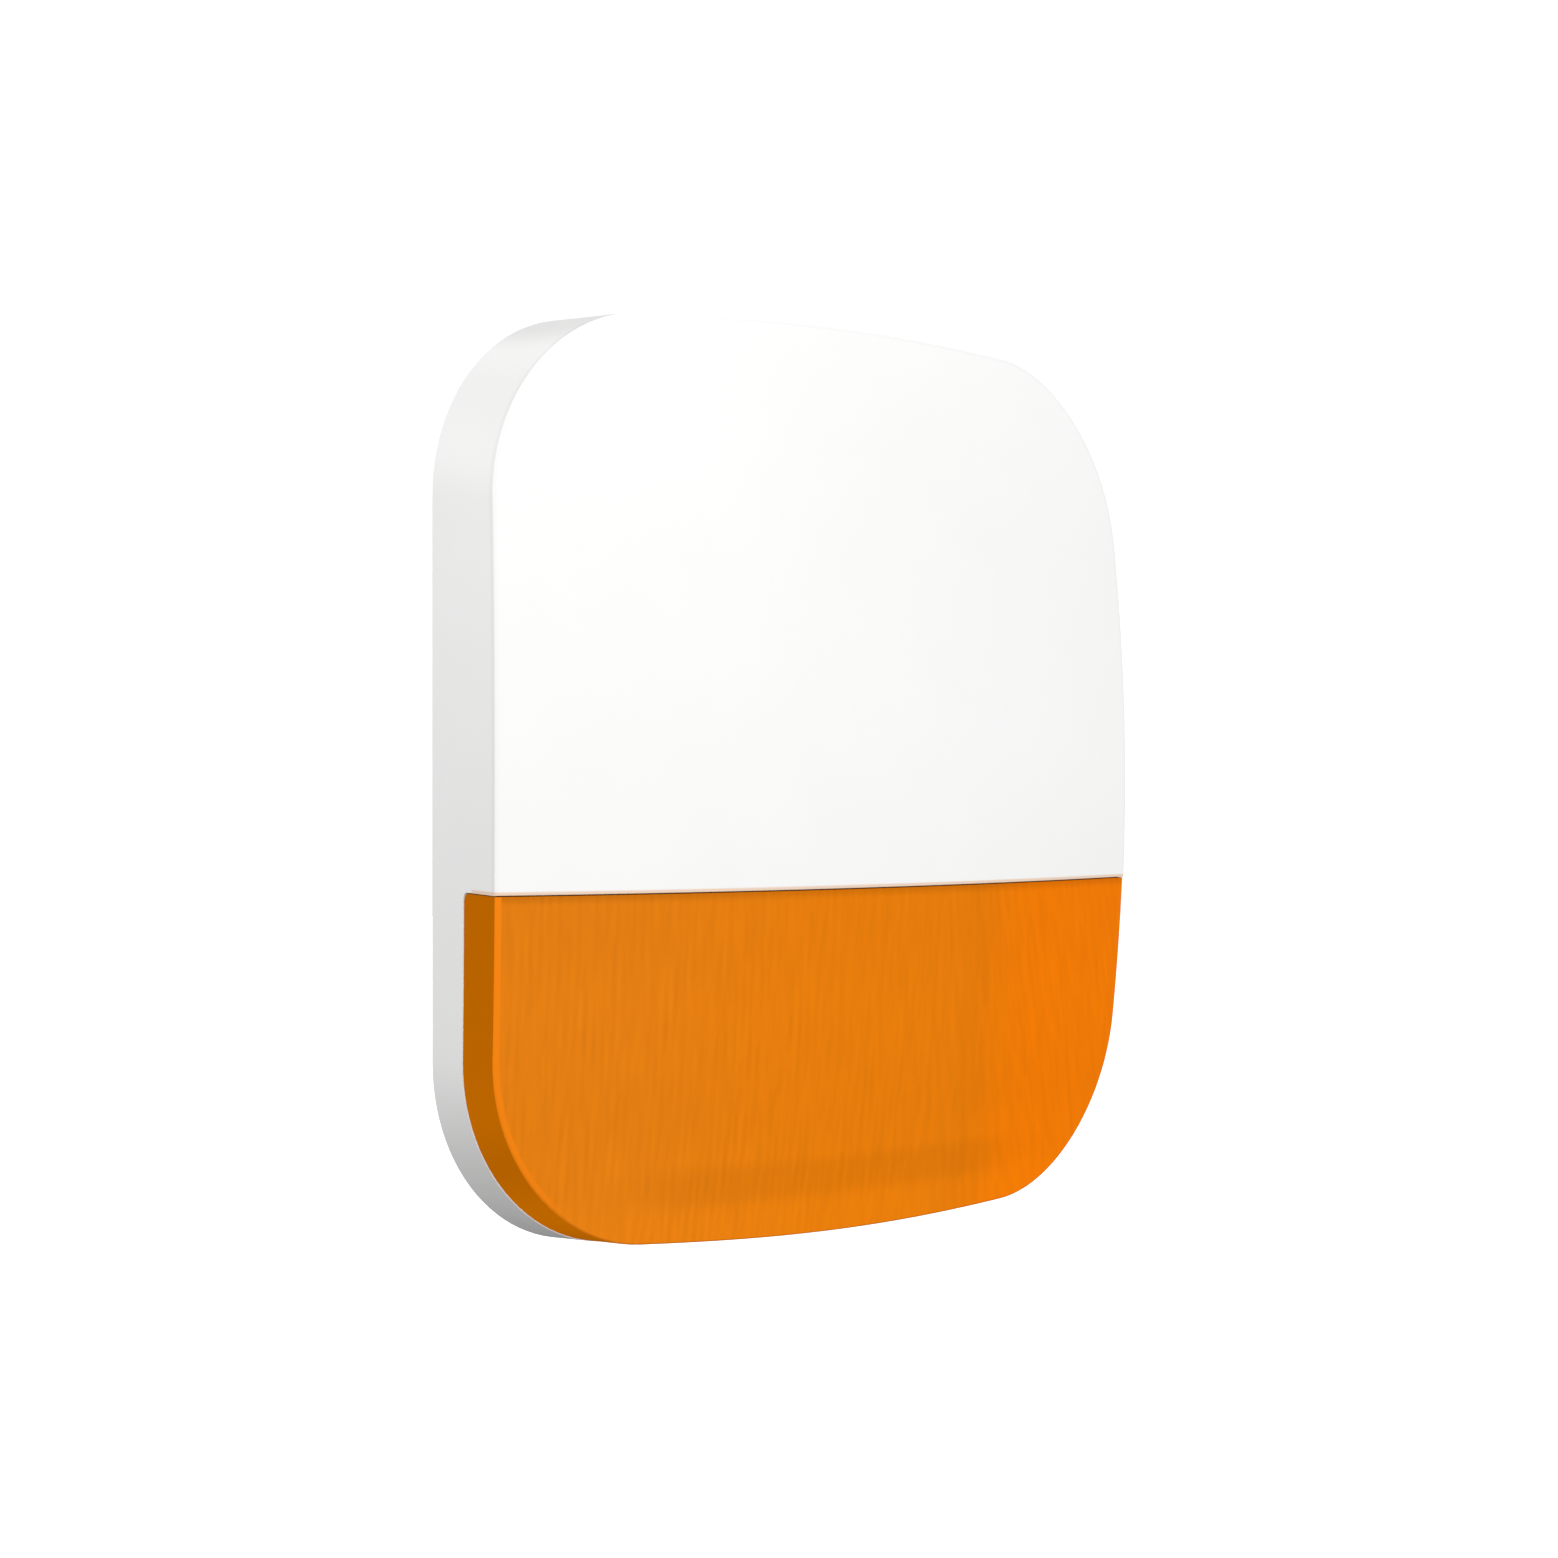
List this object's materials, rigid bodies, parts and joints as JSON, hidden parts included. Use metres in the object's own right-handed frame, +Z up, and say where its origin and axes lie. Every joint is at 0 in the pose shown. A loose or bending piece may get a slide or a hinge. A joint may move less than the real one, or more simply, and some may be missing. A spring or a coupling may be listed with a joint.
{
  "type": "alarm siren",
  "caption": "Slim wall-mounted outdoor alarm siren with a domed white cover and an orange strobe lens across its lower third.",
  "frame": {"origin": "centre of the wall face of the wall bracket", "axes": "+X to the right seen from the front, the front faces -Y and the wall is at +Y, +Z up"},
  "size_m": [0.201, 0.052, 0.25],
  "materials": {
    "cover_white": "fine moulded, satin",
    "housing_white": "fine moulded, matte",
    "lens_orange": "translucent, ribbed inside",
    "bracket_grey": "moulded, matte",
    "black_plastic": "moulded, matte",
    "gasket_rubber": "matte",
    "circuit_green": "solder mask",
    "screw_steel": "zinc plated",
    "brass": "satin",
    "piezo_ceramic": "fired, matte",
    "cell_wrap": "shrink sleeve",
    "led_lens": "clear dome over phosphor",
    "terminal_green": "moulded",
    "cable_red": "insulation"
  },
  "bodies": {
    "bracket": {"wall_bracket": "bracket_grey", "bracket_insert": "brass"},
    "siren": {"antenna": "brass", "battery_cell_1": "cell_wrap", "battery_cell_2": "cell_wrap", "battery_cell_3": "cell_wrap", "battery_cell_4": "cell_wrap", "battery_contact_lower": "screw_steel", "battery_contact_upper": "screw_steel", "battery_door": "housing_white", "battery_door_screw": "screw_steel", "battery_holder": "black_plastic", "board_screw_1": "screw_steel", "board_screw_2": "screw_steel", "board_screw_3": "screw_steel", "board_screw_4": "screw_steel", "cable_grommet": "gasket_rubber", "capacitor": "black_plastic", "front_cover": "cover_white", "housing_gasket": "gasket_rubber", "housing_screw_1": "screw_steel", "housing_screw_2": "screw_steel", "housing_screw_3": "screw_steel", "housing_screw_4": "screw_steel", "lens_gasket": "gasket_rubber", "lens_screw_1": "screw_steel", "lens_screw_2": "screw_steel", "lens_screw_3": "screw_steel", "lens_screw_4": "screw_steel", "main_board": "circuit_green", "pairing_switch": "black_plastic", "piezo_ceramic": "piezo_ceramic", "piezo_diaphragm": "brass", "power_switch_body": "screw_steel", "processor": "black_plastic", "radio_module": "screw_steel", "rear_housing": "housing_white", "reflector": "cover_white", "sounder_cable": "cable_red", "sounder_cup": "black_plastic", "sounder_port_plate": "black_plastic", "sounder_screw_1": "screw_steel", "sounder_screw_2": "screw_steel", "sounder_screw_3": "screw_steel", "strobe_board": "circuit_green", "strobe_cable": "cable_red", "strobe_led_1": "led_lens", "strobe_led_2": "led_lens", "strobe_led_3": "led_lens", "strobe_led_4": "led_lens", "strobe_lens": "lens_orange", "tamper_spring": "screw_steel", "tamper_switch": "black_plastic", "terminal_block": "terminal_green", "transformer": "black_plastic"},
    "locking_screw": {"locking_screw": "screw_steel", "retaining_clip": "screw_steel"},
    "tamper_plunger": {"tamper_plunger": "black_plastic"},
    "power_switch_slider": {"power_switch_slider": "black_plastic"},
    "pairing_button": {"pairing_button": "black_plastic"}
  },
  "joints": [
    {"name": "siren_lift", "type": "slide", "parent": "bracket", "child": "siren", "axis": [0, 0, 1], "range_m": [0, 0.01]},
    {"name": "locking_screw_turn", "type": "hinge", "parent": "siren", "child": "locking_screw", "pos_m": [0, -0.0055, -0.1115], "axis": [0, 0, 1], "continuous": true},
    {"name": "tamper_press", "type": "slide", "parent": "siren", "child": "tamper_plunger", "axis": [0, -1, 0], "range_m": [0, 0.002], "stiffness_N_per_m": 300, "deforming": ["tamper_spring"]},
    {"name": "power_switch_slide", "type": "slide", "parent": "siren", "child": "power_switch_slider", "axis": [1, 0, 0], "range_m": [0, 0.0035]},
    {"name": "pairing_press", "type": "slide", "parent": "siren", "child": "pairing_button", "axis": [0, -1, 0], "range_m": [0, 0.0005], "stiffness_N_per_m": 1500}
  ]
}
